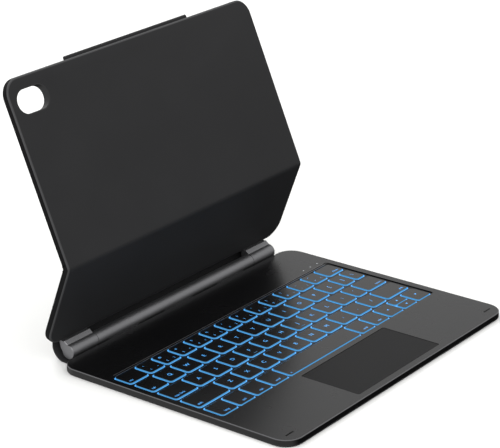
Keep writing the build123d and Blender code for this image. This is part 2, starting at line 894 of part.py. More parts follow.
def make_back():
    """Lower and upper panels with their layers, magnets and camera ring."""
    knuckle_slots = []
    tongue_width = knuckle_length - 2 * tongue_side_inset
    for side in (-1, 1):
        x = side * (barrel_length - knuckle_length) / 2
        knuckle_slots.append(
            block(
                x - tongue_width / 2, x + tongue_width / 2, -lower_length - cut_margin,
                -lower_length + tongue_length, -tongue_thickness / 2, tongue_thickness / 2,
            )
        )
    panel_layers(
        "lower_back", lower_plane, lower_length, lower_corner_radius, False,
        {"tray": knuckle_slots, "stiffener": knuckle_slots, "skin": []},
    )

    ring_hole = camera_stadium(camera_ring_wall, -back_thickness, back_thickness)
    pockets = [magnet_block(x, y, magnet_clearance) for x, y in magnet_places()]
    panel_layers(
        "upper_back", upper_plane, upper_length, upper_corner_radius, True,
        {"tray": [ring_hole], "stiffener": [ring_hole] + pockets, "skin": [ring_hole]},
    )
    save("tablet_magnets", [upper_plane * magnet_block(x, y, 0.0) for x, y in magnet_places()])
    ring = camera_stadium(camera_ring_wall, -half_back, half_back)
    ring -= camera_stadium(0.0, -back_thickness, back_thickness)
    save("camera_ring", upper_plane * ring)


def crease_hinge(x, plane, direction, segments):
    """One half of a small crease hinge: a leaf and its knuckles."""
    half = leaf_block(x, direction, 0)
    half -= rod(
        crease_knuckle_radius + crease_notch_clearance, crease_hinge_length + cut_margin, x
    )
    for low, high in segments:
        length = high - low
        middle = x + (low + high) / 2
        half += rod(crease_knuckle_radius, length, middle)
        web = block(
            middle - length / 2, middle + length / 2,
            min(0, direction * crease_hinge_web), max(0, direction * crease_hinge_web),
            -crease_leaf_thickness / 2, crease_leaf_thickness / 2,
        )
        half += web
    bore = crease_pin_radius + (crease_pin_clearance if direction > 0 else 0.0)
    return plane * (half - rod(bore, crease_hinge_length + cut_margin, x))


def make_crease_hinges():
    """Two small hinges in the fold line, three knuckles each on one pin."""
    end = crease_hinge_length / 2
    third = crease_hinge_length / 6
    outer = [(-end, -third - crease_segment_gap), (third + crease_segment_gap, end)]
    inner = [(-third, third)]
    places = [side * crease_hinge_spacing / 2 for side in (-1, 1)]
    save("crease_hinge_lower_leaves", [crease_hinge(x, lower_plane, -1, outer) for x in places])
    save("crease_hinge_upper_leaves", [crease_hinge(x, upper_plane, 1, inner) for x in places])
    save(
        "crease_hinge_pins",
        [lower_plane * rod(crease_pin_radius, crease_hinge_length, x) for x in places],
    )


def make_stylus_flap():
    """Magnetic flap folded down behind the top edge of the back, with its metal strip."""
    axis_up = upper_length + flap_gap + flap_thickness / 2
    axis_back = -half_back - flap_gap - flap_thickness / 2
    flap = block(
        flap_offset_x - flap_length / 2, flap_offset_x + flap_length / 2,
        axis_up - flap_depth, axis_up, axis_back - flap_thickness / 2, axis_back + flap_thickness / 2,
    )
    lower_edges = flap.edges().filter_by(Axis.Z).group_by(Axis.Y)[0]
    flap = fillet(lower_edges, flap_corner_radius)
    flap += rod(flap_thickness / 2, flap_length, flap_offset_x, axis_up, axis_back)
    strip_low = axis_up - flap_depth + flap_strip_edge_inset
    strip = block(
        flap_offset_x - flap_length / 2 + flap_strip_side_inset,
        flap_offset_x + flap_length / 2 - flap_strip_side_inset,
        strip_low, strip_low + flap_strip_width,
        axis_back - flap_strip_thickness / 2, axis_back + flap_strip_thickness / 2,
    )
    save("stylus_flap", upper_plane * (flap - strip))
    save("stylus_flap_magnet", upper_plane * strip)


def main():
    os.makedirs("parts", exist_ok=True)
    make_deck_top()
    make_deck_bottom()
    make_deck_details()
    make_electronics()
    make_trackpad()
    make_key_layers()
    make_keys()
    make_barrel()
    make_spine()
    make_back()
    make_crease_hinges()
    make_stylus_flap()
    print("nodes", len(saved))


main()
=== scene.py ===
import json
import math

import bmesh
import bpy
from mathutils import Matrix, Quaternion, Vector


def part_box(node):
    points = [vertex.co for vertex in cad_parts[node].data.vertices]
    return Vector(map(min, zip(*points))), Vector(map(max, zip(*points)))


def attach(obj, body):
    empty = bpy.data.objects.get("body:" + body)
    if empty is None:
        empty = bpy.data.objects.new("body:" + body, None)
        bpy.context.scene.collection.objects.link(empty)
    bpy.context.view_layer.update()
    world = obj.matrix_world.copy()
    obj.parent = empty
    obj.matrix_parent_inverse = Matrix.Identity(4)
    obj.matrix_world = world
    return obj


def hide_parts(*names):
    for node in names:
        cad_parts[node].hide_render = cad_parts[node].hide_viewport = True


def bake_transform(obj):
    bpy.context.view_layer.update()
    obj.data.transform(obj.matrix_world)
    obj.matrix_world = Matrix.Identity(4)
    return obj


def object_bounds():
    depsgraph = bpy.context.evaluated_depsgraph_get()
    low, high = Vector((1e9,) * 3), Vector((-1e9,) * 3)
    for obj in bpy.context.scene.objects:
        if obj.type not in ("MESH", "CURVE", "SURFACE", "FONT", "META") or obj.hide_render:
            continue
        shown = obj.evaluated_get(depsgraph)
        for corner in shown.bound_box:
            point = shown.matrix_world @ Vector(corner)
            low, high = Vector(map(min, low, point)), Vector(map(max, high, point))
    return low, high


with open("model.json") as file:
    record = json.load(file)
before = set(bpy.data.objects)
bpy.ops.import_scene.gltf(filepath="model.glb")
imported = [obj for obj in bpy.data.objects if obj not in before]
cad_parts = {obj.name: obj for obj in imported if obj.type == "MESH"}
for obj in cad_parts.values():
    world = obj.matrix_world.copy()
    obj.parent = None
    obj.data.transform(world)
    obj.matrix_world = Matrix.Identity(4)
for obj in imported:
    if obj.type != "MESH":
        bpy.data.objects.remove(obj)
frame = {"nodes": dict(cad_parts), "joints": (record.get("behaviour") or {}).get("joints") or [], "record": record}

cad_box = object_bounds()
nodes = frame["nodes"]
mm = 0.001


# ---------------------------------------------------------------- places read from the frame
def reach(node, origin, direction):
    """How far a CAD node goes from a point along a direction."""
    return max((vertex.co - origin).dot(direction) for vertex in nodes[node].data.vertices)


joints = {joint["name"]: joint for joint in frame["joints"]}
mounts = {mount["name"]: mount for mount in frame["record"]["mounts"]}
crease_axis = Vector(joints["crease_hinge"]["pos_m"])
flap_axis = Vector(joints["stylus_flap_fold"]["pos_m"])
across = Vector((1, 0, 0))

# The upper panel's outward and upward directions; the lower panel's are turned by the fold at the crease.
fold_angle = math.radians(joints["crease_hinge"]["range_deg"][1])
upper_front = Vector(mounts["tablet_face"]["axis"]).normalized()
upper_up = Vector((0, upper_front.z, -upper_front.y))
fold_turn = Matrix.Rotation(fold_angle, 3, "X")
lower_front = fold_turn @ upper_front
lower_up = fold_turn @ upper_up
half_back = reach("upper_back_inner_skin", crease_axis, upper_front)
upper_length = reach("upper_back_outer_skin", crease_axis, upper_up)
lower_length = reach("lower_back_outer_skin", crease_axis, -lower_up)
back_width = 2 * reach("upper_back_outer_skin", crease_axis, across)
deck_low, deck_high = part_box("deck_top_frame")
skin_low, skin_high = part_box("deck_underside_skin")


# ---------------------------------------------------------------- small helpers for modelling
def only(piece):
    """Make one object the only selected and active one."""
    bpy.ops.object.select_all(action="DESELECT")
    piece.select_set(True)
    bpy.context.view_layer.objects.active = piece


def lean_of(up):
    """Turn about X that stands a piece's own Z along a direction."""
    return math.atan2(-up.y, up.z)


def name_piece(piece, name):
    """Name an object and its mesh alike."""
    piece.name = name
    piece.data.name = name


def settle(piece):
    """Put a piece's place, turn and size into its mesh."""
    only(piece)
    bpy.ops.object.transform_apply(location=True, rotation=True, scale=True)


def add_box(name, centre, size, lean=0.0):
    """Box of a size in its own axes, leaned about X, ready to be shaped."""
    bpy.ops.object.select_all(action="DESELECT")
    bpy.ops.mesh.primitive_cube_add(size=1, location=centre, rotation=(lean, 0, 0))
    piece = bpy.context.object
    name_piece(piece, name)
    piece.scale = size
    settle(piece)
    return piece


def add_section(name, centre, size):
    """Upright rectangle across X that a strip is drawn from."""
    bpy.ops.object.select_all(action="DESELECT")
    bpy.ops.mesh.primitive_plane_add(size=1, location=centre, rotation=(math.pi / 2, 0, 0))
    piece = bpy.context.object
    name_piece(piece, name)
    piece.scale = (size[0], size[1], 1)
    settle(piece)
    return piece


def open_mesh(piece):
    """Enter edit mode with nothing selected."""
    only(piece)
    bpy.ops.object.mode_set(mode="EDIT")
    bpy.ops.mesh.select_all(action="DESELECT")


def close_mesh():
    """Leave edit mode with doubles merged and faces pointing outwards."""
    bpy.ops.mesh.select_mode(type="VERT")
    bpy.ops.mesh.select_all(action="SELECT")
    bpy.ops.mesh.remove_doubles(threshold=0.002 * mm)
    bpy.ops.mesh.normals_make_consistent(inside=False)
    bpy.ops.object.mode_set(mode="OBJECT")


def pick(piece, kind, test):
    """In edit mode, select only the vertices, edges or faces that pass a test."""
    bpy.ops.mesh.select_mode(type={"verts": "VERT", "edges": "EDGE", "faces": "FACE"}[kind])
    bpy.ops.mesh.select_all(action="DESELECT")
    mesh = bmesh.from_edit_mesh(piece.data)
    for item in getattr(mesh, kind):
        if test(item):
            item.select_set(True)
    bmesh.update_edit_mesh(piece.data)


def middle(edge):
    """Middle of an edge."""
    return (edge.verts[0].co + edge.verts[1].co) / 2


def along(edge, direction):
    """True for an edge parallel to a direction."""
    line = (edge.verts[1].co - edge.verts[0].co).normalized()
    return abs(line.dot(direction)) > 0.999


def is_sharp(edge, degrees=50):
    """True for an edge whose two faces meet at more than an angle."""
    return len(edge.link_faces) == 2 and edge.calc_face_angle() > math.radians(degrees)


def shift(step):
    """Move what is selected."""
    bpy.ops.transform.translate(value=step)


def draw_on(step):
    """Extrude the selected section by a step."""
    bpy.ops.mesh.extrude_region_move(TRANSFORM_OT_translate={"value": step})


def draw_round(centre, angle, steps):
    """Extrude the selected section round a centre, about X, by an angle."""
    for _ in range(steps):
        bpy.ops.mesh.extrude_region_move(TRANSFORM_OT_translate={"value": (0, 0, 0)})
        bpy.ops.transform.rotate(value=-angle / steps, orient_axis="X", center_override=centre)


def round_edges(width, segments):
    """Bevel the selected edges to a round."""
    bpy.ops.mesh.bevel(offset=width, offset_type="OFFSET", segments=segments, affect="EDGES")


def apply_modifier(piece, kind, **options):
    """Add a modifier with its options and apply it at once."""
    only(piece)
    modifier = piece.modifiers.new(kind.lower(), kind)
    for option, value in options.items():
        setattr(modifier, option, value)
    bpy.ops.object.modifier_apply(modifier=modifier.name)


def smooth(piece, degrees=32):
    """Shade a piece smooth across its gentle edges."""
    only(piece)
    bpy.ops.object.shade_smooth_by_angle(angle=math.radians(degrees))


def paint_picked(piece, finish):
    """Give the selected faces a finish of their own."""
    names = [material.name for material in piece.data.materials if material]
    if finish.name not in names:
        piece.data.materials.append(finish)
        names.append(finish.name)
    piece.active_material_index = names.index(finish.name)
    bpy.ops.object.material_slot_assign()


def join_as(name, members):
    """Join copies into one piece."""
    bpy.ops.object.select_all(action="DESELECT")
    for member in members:
        member.select_set(True)
    bpy.context.view_layer.objects.active = members[0]
    bpy.ops.object.join()
    piece = bpy.context.object
    name_piece(piece, name)
    return piece


# ---------------------------------------------------------------- materials
def linear(code):
    """An sRGB hex colour as linear RGBA."""
    channels = [int(code[index:index + 2], 16) / 255 for index in (1, 3, 5)]
    return [c / 12.92 if c <= 0.04045 else ((c + 0.055) / 1.055) ** 2.4 for c in channels] + [1.0]


def add(tree, kind, values=None, links=None, **options):
    """Add a node with its options, socket values and incoming links."""
    node = tree.nodes.new(kind)
    for option, value in options.items():
        setattr(node, option, value)
    for socket, value in (values or {}).items():
        node.inputs[socket].default_value = value
    for socket, (source, output) in (links or {}).items():
        tree.links.new(source.outputs[output], node.inputs[socket])
    return node


def start_material(name, **values):
    """A Principled material with constant values set, and its tree, shader and object coordinates."""
    material = bpy.data.materials.new(name)
    material.use_nodes = True
    tree = material.node_tree
    shader = tree.nodes["Principled BSDF"]
    for socket, value in values.items():
        shader.inputs[socket.replace("_", " ")].default_value = value
    place = add(tree, "ShaderNodeTexCoord")
    return material, tree, shader, place


def two_tone(tree, shader, place, dark, light, patch, detail=3.0):
    """Colour that drifts between two tones in soft patches of a size in metres."""
    drift = add(tree, "ShaderNodeTexNoise", {"Scale": 1 / patch, "Detail": detail},
                {"Vector": (place, "Object")})
    ramp = add(tree, "ShaderNodeValToRGB", links={"Fac": (drift, "Fac")})
    ramp.color_ramp.elements[0].position = 0.32
    ramp.color_ramp.elements[0].color = linear(dark)
    ramp.color_ramp.elements[1].position = 0.68
    ramp.color_ramp.elements[1].color = linear(light)
    tree.links.new(ramp.outputs["Color"], shader.inputs["Base Color"])
    return drift


def vary_roughness(tree, shader, source, low, high):
    """Roughness between two values, from a pattern."""
    span = add(tree, "ShaderNodeMapRange", {"To Min": low, "To Max": high},
               {"Value": (source, "Fac")})
    tree.links.new(span.outputs["Result"], shader.inputs["Roughness"])


def emboss(tree, shader, source, output, depth, strength=1.0):
    """Bump of a depth in metres from a pattern."""
    bump = add(tree, "ShaderNodeBump", {"Distance": depth, "Strength": strength},
               {"Height": (source, output)})
    tree.links.new(bump.outputs["Normal"], shader.inputs["Normal"])


def leather(name, dark, light, gloss, roughness=0.62):
    """Embossed polyurethane leather: matte, with pebbles about 0.7 mm across and faint mottling."""
    material, tree, shader, place = start_material(name, IOR=1.5, Specular_IOR_Level=gloss)
    drift = two_tone(tree, shader, place, dark, light, 60 * mm)
    vary_roughness(tree, shader, drift, roughness - 0.05, roughness + 0.05)
    pebbles = add(tree, "ShaderNodeTexVoronoi", {"Scale": 1 / (0.7 * mm), "Randomness": 0.9},
                  {"Vector": (place, "Object")}, feature="SMOOTH_F1")
    emboss(tree, shader, pebbles, "Distance", 0.02 * mm, 0.6)
    return material


def moulded(name, dark, light, roughness, gloss=0.5, grit=0.3, depth=0.008):
    """Moulded or coated plastic: a fine spark texture, grit and depth in millimetres."""
    material, tree, shader, place = start_material(name, IOR=1.5, Specular_IOR_Level=gloss)
    drift = two_tone(tree, shader, place, dark, light, 45 * mm)
    vary_roughness(tree, shader, drift, roughness - 0.03, roughness + 0.03)
    spark = add(tree, "ShaderNodeTexNoise", {"Scale": 1 / (grit * mm), "Detail": 2.0},
                {"Vector": (place, "Object")})
    emboss(tree, shader, spark, "Fac", depth * mm)
    return material


def metal(name, dark, light, roughness, grain=(0.25, 0.25, 0.25), depth=0.004):
    """Bare or anodised metal: grain is the size of its blasted or brushed marks along X, Y and Z in mm."""
    material, tree, shader, place = start_material(name, Metallic=1.0)
    drift = two_tone(tree, shader, place, dark, light, 30 * mm)
    vary_roughness(tree, shader, drift, roughness - 0.04, roughness + 0.04)
    stretch = add(tree, "ShaderNodeMapping", {"Scale": [1 / (size * mm) for size in grain]},
                  {"Vector": (place, "Object")})
    marks = add(tree, "ShaderNodeTexNoise", {"Scale": 1.0, "Detail": 2.0},
                {"Vector": (stretch, "Vector")})
    emboss(tree, shader, marks, "Fac", depth * mm)
    return material


def glow(name, dim, bright, strength, patch):
    """Lit acrylic or diffuser: light that is a little stronger near the hidden lamps."""
    material, tree, shader, place = start_material(name, IOR=1.49, Roughness=0.4)
    shader.inputs["Base Color"].default_value = linear(dim)
    lamps = add(tree, "ShaderNodeTexNoise", {"Scale": 1 / patch, "Detail": 1.0},
                {"Vector": (place, "Object")})
    ramp = add(tree, "ShaderNodeValToRGB", links={"Fac": (lamps, "Fac")})
    ramp.color_ramp.elements[0].position = 0.3
    ramp.color_ramp.elements[0].color = linear(dim)
    ramp.color_ramp.elements[1].position = 0.7
    ramp.color_ramp.elements[1].color = linear(bright)
    tree.links.new(ramp.outputs["Color"], shader.inputs["Emission Color"])
    shader.inputs["Emission Strength"].default_value = strength
    return material


# how far a face leans: the Z of its normal on a 45 degree chamfer, and how near counts as that slope, for the
# painted highlight on the deck's chamfer
chamfer_normal_z = 0.7071
chamfer_near = 0.08
chamfer_far = 0.2
# ShaderNodeMix keeps its colour sockets after its number and vector ones
mix_color_a = 6
mix_color_b = 7
mix_color_result = 2


def paint_chamfer_highlight(material, color):
    """The same moulding with a painted highlight: its sloping chamfer gets a lighter colour, so the top edge shows
    as a fine line.
    """
    tree = material.node_tree
    shader = tree.nodes["Principled BSDF"]
    plain = shader.inputs["Base Color"].links[0].from_socket
    place = add(tree, "ShaderNodeTexCoord")
    way = add(tree, "ShaderNodeSeparateXYZ", links={"Vector": (place, "Normal")})
    off_slope = add(tree, "ShaderNodeMath", {1: chamfer_normal_z}, {0: (way, "Z")}, operation="SUBTRACT")
    distance = add(tree, "ShaderNodeMath", links={0: (off_slope, "Value")}, operation="ABSOLUTE")
    chamfer_highlight_mask = add(tree, "ShaderNodeMapRange", {
        "From Min": chamfer_near, "From Max": chamfer_far, "To Min": 1, "To Max": 0,
    }, {"Value": (distance, "Value")})
    # painted highlight: a lighter base colour on the chamfer faces
    shade = add(tree, "ShaderNodeMix", links={"Factor": (chamfer_highlight_mask, "Result")}, data_type="RGBA")
    shade.inputs[mix_color_b].default_value = linear(color)
    tree.links.new(plain, shade.inputs[mix_color_a])
    tree.links.new(shade.outputs[mix_color_result], shader.inputs["Base Color"])
    return material


# light through the bare sides of a cap, and the lean of the rounded edge over which the paint ends
skirt_glow = 0.85
bare_side_normal_z = 0.35
painted_top_normal_z = 0.85


def key_cap_paint():
    """Key cap: clear plastic painted black on top, with bare sides that let the key light through."""
    material, tree, shader, place = start_material("painted_key_cap", IOR=1.5, Specular_IOR_Level=0.45)
    drift = two_tone(tree, shader, place, "#060607", "#09090a", 45 * mm)
    vary_roughness(tree, shader, drift, 0.24, 0.3)
    shader.inputs["Emission Color"].default_value = linear("#4f9dd6")
    side = add(tree, "ShaderNodeSeparateXYZ", links={"Vector": (place, "Normal")})
    height = add(tree, "ShaderNodeMath", links={0: (side, "Z")}, operation="ABSOLUTE")
    bare = add(tree, "ShaderNodeMapRange", {
        "From Min": bare_side_normal_z, "From Max": painted_top_normal_z,
        "To Min": skirt_glow, "To Max": 0.0,
    }, {"Value": (height, "Value")}, interpolation_type="SMOOTHSTEP")
    tree.links.new(bare.outputs["Result"], shader.inputs["Emission Strength"])
    return material


def circuit_laminate():
    """Solder-masked glass-fibre board: dark green, with fine tracks that stand a little proud."""
    material, tree, shader, place = start_material("solder_masked_board", IOR=1.55, Roughness=0.35)
    tracks = add(tree, "ShaderNodeTexBrick", {
        "Scale": 1.0, "Color1": linear("#16301f"), "Color2": linear("#1b3a26"),
        "Mortar": linear("#2c5a3a"), "Mortar Size": 0.15 * mm, "Brick Width": 6 * mm,
        "Row Height": 1.2 * mm,
    }, {"Vector": (place, "Object")})
    tree.links.new(tracks.outputs["Color"], shader.inputs["Base Color"])
    emboss(tree, shader, tracks, "Fac", 0.03 * mm)
    return material


def pouch_foil():
    """Aluminium-laminate battery pouch: satin silver with shallow creases."""
    material, tree, shader, place = start_material("battery_pouch_laminate", Metallic=1.0)
    drift = two_tone(tree, shader, place, "#8f9092", "#b4b5b6", 12 * mm, 5.0)
    vary_roughness(tree, shader, drift, 0.28, 0.42)
    emboss(tree, shader, drift, "Fac", 0.15 * mm)
    return material


finishes = {
    # pebbled synthetic leather over the folding back and the underside
    "cover_leather": leather("pebbled_pu_leather", "#262627", "#2a2a2b", 0.2),
    # soft-touch coat on moulded ABS: near-black, with a broad reflection and a painted highlight on its top edge
    # chamfer
    "deck_plastic": paint_chamfer_highlight(
        moulded("soft_coated_abs", "#060607", "#080809", 0.27, 0.42, 0.3, 0.003), "#5a5a5c"),
    # painted key caps: the same black as the deck, smoother, with lit bare sides
    "keycap_plastic": key_cap_paint(),
    # film between the caps, black and satin
    "mask_film": moulded("black_pet_film", "#050506", "#070708", 0.4, 0.3, 0.2, 0.002),
    # edge-lit acrylic under the film
    "light_guide": glow("edge_lit_acrylic", "#3d88c6", "#559fd8", 0.9, 18 * mm),
    # etched glass: even, dark and matte
    "trackpad_glass": moulded("etched_matte_glass", "#0b0b0c", "#0d0d0e", 0.4, 0.1, 0.2, 0.002),
    # bead-blasted anodised aluminium tube
    "barrel_metal": metal("blasted_anodised_aluminium", "#848486", "#8b8b8d", 0.47),
    # die-cast zinc knuckles with a satin plated coat
    "hinge_steel": metal("satin_plated_zinc", "#828284", "#89898b", 0.47, (0.4, 0.3, 0.3)),
    # brushed aluminium plates inside
    "base_aluminium": metal("brushed_aluminium", "#8d8e90", "#9b9c9e", 0.34, (8.0, 0.2, 0.2)),
    # nickel-plated magnets
    "magnet_metal": metal("nickel_plated_magnet", "#9c9a94", "#aaa8a2", 0.22, (0.6, 0.6, 0.6)),
    # drawn stainless shell of the port
    "port_steel": metal("drawn_stainless_steel", "#7d7e80", "#8b8c8e", 0.28, (4.0, 0.15, 0.15)),
    # acetal friction bushes
    "bush_plastic": moulded("acetal_bush", "#c9c7c0", "#d4d2cb", 0.35, 0.5, 0.3, 0.004),
    # silicone bumpers and key domes
    "bumper_rubber": moulded("silicone_rubber", "#050505", "#070707", 0.7, 0.05, 0.3, 0.01),
    "dome_rubber": moulded("milky_silicone_domes", "#b9bdc0", "#c6cacc", 0.5, 0.4, 0.3, 0.005),
    # printed polyester membrane
    "membrane_film": moulded("printed_polyester_film", "#9fb0a8", "#b2c2ba", 0.3, 0.5, 0.6, 0.002),
    # moulded lining of the camera opening
    "ring_plastic": moulded("moulded_ring_pc", "#161617", "#1a1a1b", 0.45, 0.45, 0.3, 0.006),
    # pressed fibre stiffeners inside the panels
    "stiffener_board": moulded("pressed_fibre_board", "#6d6657", "#7d7566", 0.8, 0.2, 0.8, 0.04),
    # slide switch knob
    "switch_plastic": moulded("switch_knob_abs", "#1b1b1c", "#202022", 0.42, 0.5, 0.3, 0.006),
    # indicator diffusers, lit white
    "lens_plastic": glow("lit_white_diffuser", "#a9afb2", "#c4c8ca", 0.8, 3 * mm),
    "battery_foil": pouch_foil(),
    "circuit_board": circuit_laminate(),
}
# printed legends that let the key light through
legend_light = glow("backlit_legend_ink", "#3f93dd", "#66b4f5", 0.75, 9 * mm)
# raised beads at the well's back edge, which catch the light, in a bright metal that paints a highlight on them,
# brighter than the coating round it
bead_painted_highlight = metal("burnished_edge_line", "#77777a", "#808083", 0.35)
# painted cut edge of the cover, and a lighter leather on the rim in front of it: a painted highlight where the rim
# catches the light
edge_paint = leather("black_edge_paint", "#0b0b0c", "#101011", 0.12, 0.7)
painted_rim_highlight = leather("pressed_leather_rim", "#3a3a3b", "#434344", 0.3, 0.5)


def finish_cad_nodes():
    """Give each CAD node the material of its slot in the record."""
    slot_of = {part["node"]: part["material_slot"] for part in frame["record"]["subparts"]}
    for name, node in nodes.items():
        finish = finishes[slot_of[name]]
        for place in node.material_slots:
            place.material = finish
        if not node.material_slots:
            node.data.materials.append(finish)


def dress(piece, slot):
    """Give a new piece the finish of a slot."""
    piece.data.materials.clear()
    piece.data.materials.append(finishes[slot])


# ---------------------------------------------------------------- folding back
cover_skin = 0.85 * mm
upper_corner = 12 * mm
lower_corner = 13 * mm
front_edge_round = 1.3 * mm
rear_edge_round = 1.1 * mm
ridge_round = 1.7 * mm
bend_zone = 4.5 * mm


def make_back_cover():
    """One wrapped leather skin over both panels, bent at the crease, with the camera opening."""
    size = (back_width, 2 * half_back, lower_length)
    cover = add_box("back_cover", crease_axis - lower_up * lower_length / 2, size, lean_of(lower_up))
    mitre = half_back * math.tan(fold_angle / 2)
    near = 2 * half_back

    def at_fold(point):
        return (point - crease_axis).yz.length < near

    def at_top(point):
        return (point - crease_axis).dot(upper_up) > upper_length - near

    cover.data.materials.append(finishes["cover_leather"])
    open_mesh(cover)
    # mitre the lower panel's top, then draw the upper panel from it
    for side in (1, -1):
        pick(cover, "edges", lambda edge: along(edge, across) and at_fold(middle(edge))
             and (middle(edge) - crease_axis).dot(lower_front) * side > 0)
        shift(lower_up * mitre * side)
    pick(cover, "faces", lambda face: at_fold(face.calc_center_median()))
    draw_on(upper_up * upper_length)
    for side in (1, -1):
        pick(cover, "edges", lambda edge: along(edge, across) and at_top(middle(edge))
             and (middle(edge) - crease_axis).dot(upper_front) * side > 0)
        shift(upper_up * mitre * side)
    # round the free corners and the fold
    pick(cover, "edges", lambda edge: along(edge, upper_front) and at_top(middle(edge)))
    round_edges(upper_corner, 14)
    pick(cover, "edges", lambda edge: along(edge, lower_front) and not at_fold(middle(edge)))
    round_edges(lower_corner, 14)
    pick(cover, "edges", lambda edge: along(edge, across) and at_fold(middle(edge)))
    round_edges(ridge_round, 5)
    # rows of edges either side of the fold
    for up in (upper_up, -lower_up):
        for distance in (2.6 * mm, 3.5 * mm, bend_zone):
            bpy.ops.mesh.select_all(action="SELECT")
            bpy.ops.mesh.bisect(plane_co=crease_axis + up * distance, plane_no=up)
    # soften the rims, give the front rim a painted highlight, and paint the edge wall between them

    def on_rim(edge, side, depth):
        spot = middle(edge) - crease_axis
        front = upper_front if spot.dot(upper_up) > spot.dot(-lower_up) else lower_front
        return is_sharp(edge) and spot.dot(front) * side > depth

    def on_edge_wall(face):
        spot = face.calc_center_median() - crease_axis
        front = upper_front if spot.dot(upper_up) > spot.dot(-lower_up) else lower_front
        return abs(face.normal.dot(front)) < 0.3 and not at_fold(face.calc_center_median()) or (
            abs(face.normal.x) > 0.95)

    pick(cover, "edges", lambda edge: on_rim(edge, 1, half_back * 0.7))
    round_edges(front_edge_round, 4)
    # painted highlight: the rounded front rim gets a lighter leather
    paint_picked(cover, painted_rim_highlight)
    pick(cover, "edges", lambda edge: on_rim(edge, -1, half_back * 0.7))
    round_edges(rear_edge_round, 4)
    paint_picked(cover, edge_paint)
    pick(cover, "faces", on_edge_wall)
    paint_picked(cover, edge_paint)
    close_mesh()

    apply_modifier(cover, "SOLIDIFY", thickness=cover_skin, offset=-1)
    ring_low, ring_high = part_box("camera_ring")
    opening_top = reach("camera_ring", crease_axis, upper_up)
    opening_bottom = -reach("camera_ring", crease_axis, -upper_up)
    centre = crease_axis + upper_up * (opening_top + opening_bottom) / 2
    centre.x = (ring_low.x + ring_high.x) / 2
    opening = (ring_high.x - ring_low.x, 6 * half_back, opening_top - opening_bottom)
    cutter = add_box("camera_cutter", centre, opening, lean_of(upper_up))
    open_mesh(cutter)
    pick(cutter, "edges", lambda edge: along(edge, upper_front))
    round_edges(opening[2] / 2 - 0.01 * mm, 16)
    close_mesh()
    apply_modifier(cover, "BOOLEAN", operation="DIFFERENCE", solver="EXACT", object=cutter)
    bpy.data.objects.remove(cutter)
    smooth(cover)
    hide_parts("lower_back_inner_skin", "lower_back_outer_skin",
                "upper_back_inner_skin", "upper_back_outer_skin")
    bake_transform(cover)


# ---------------------------------------------------------------- spine skin
spine_thickness = 0.9 * mm
spine_bend = 9.6 * mm


def make_spine():
    """Leather strip from under the deck's rear edge, round behind the barrel, to the back."""
    low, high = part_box("spine_skin")
    half = spine_thickness / 2
    start = Vector((0, skin_high.y, half))
    end = crease_axis - lower_up * lower_length - lower_front * (half_back - half)
    bend_z = half + spine_bend
    bend_y = end.y - (spine_bend + (end.z - bend_z) * lower_front.z) / -lower_front.y
    centre = Vector((0, bend_y, bend_z))
    turn = math.pi / 2 + math.atan2(-lower_front.z, -lower_front.y)

    spine = add_section("spine_leather", start, (high.x - low.x, spine_thickness))
    open_mesh(spine)
    bpy.ops.mesh.select_all(action="SELECT")
    rows = 6
    for _ in range(rows):
        draw_on(Vector((0, (bend_y - start.y) / rows, 0)))
    draw_round(centre, turn, 18)
    arc_end = centre - lower_front * spine_bend
    for _ in range(2):
        draw_on((end - arc_end) / 2)
    # soften the two cut ends of the strip
    pick(spine, "edges", lambda edge: is_sharp(edge) and not along(edge, across))
    round_edges(0.3 * mm, 2)
    close_mesh()
    smooth(spine)
    dress(spine, "cover_leather")
    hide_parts("spine_skin")
    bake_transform(spine)


# ---------------------------------------------------------------- stylus flap
fold_sheet = 0.2 * mm
fold_overlap = 6 * mm


def make_stylus_flap():
    """Leather flap behind the top edge, with rounded lower corners and a rolled top."""
    low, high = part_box("stylus_flap")
    top = reach("stylus_flap", flap_axis, upper_up)
    bottom = -reach("stylus_flap", flap_axis, -upper_up)
    half = reach("stylus_flap", flap_axis, upper_front)
    centre = flap_axis + upper_up * (top + bottom) / 2
    centre.x = (low.x + high.x) / 2
    size = (high.x - low.x, 2 * half, top - bottom)
    flap = add_box("stylus_flap_leather", centre, size, lean_of(upper_up))
    open_mesh(flap)

    def low_edge(edge):
        return (middle(edge) - centre).dot(upper_up) < 0

    pick(flap, "edges", lambda edge: along(edge, upper_front) and low_edge(edge))
    round_edges(4 * mm, 8)
    pick(flap, "edges", lambda edge: along(edge, across) and not low_edge(edge))
    round_edges(half * 0.98, 6)
    pick(flap, "edges", lambda edge: is_sharp(edge))
    round_edges(0.35 * mm, 3)
    close_mesh()
    smooth(flap)
    dress(flap, "cover_leather")
    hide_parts("stylus_flap")
    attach(flap, "stylus_flap_body")

    # thin fold that carries the flap over the top edge
    radius = half + 0.15 * mm
    front_point = flap_axis + upper_front * radius - upper_up * fold_overlap
    rear_point = flap_axis - upper_front * radius
    front_point.x = rear_point.x = centre.x
    fold = add_section("flap_fold", front_point, (size[0] - 1 * mm, fold_sheet))
    open_mesh(fold)
    bpy.ops.mesh.select_all(action="SELECT")
    tilt = math.atan2(upper_up.z, upper_up.y)
    bpy.ops.transform.rotate(value=-tilt, orient_axis="X", center_override=front_point)
    for _ in range(3):
        draw_on(upper_up * fold_overlap / 3)
    draw_round(flap_axis, -math.pi, 14)
    for _ in range(3):
        draw_on(-upper_up * fold_overlap / 3)
    close_mesh()
    smooth(fold)
    dress(fold, "cover_leather")
    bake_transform(fold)


# ---------------------------------------------------------------- key legends
legend_thickness = 0.02 * mm
letter_size = 4.3 * mm
small_size = 2.5 * mm
word_size = 2.7 * mm
capital_share = 0.36

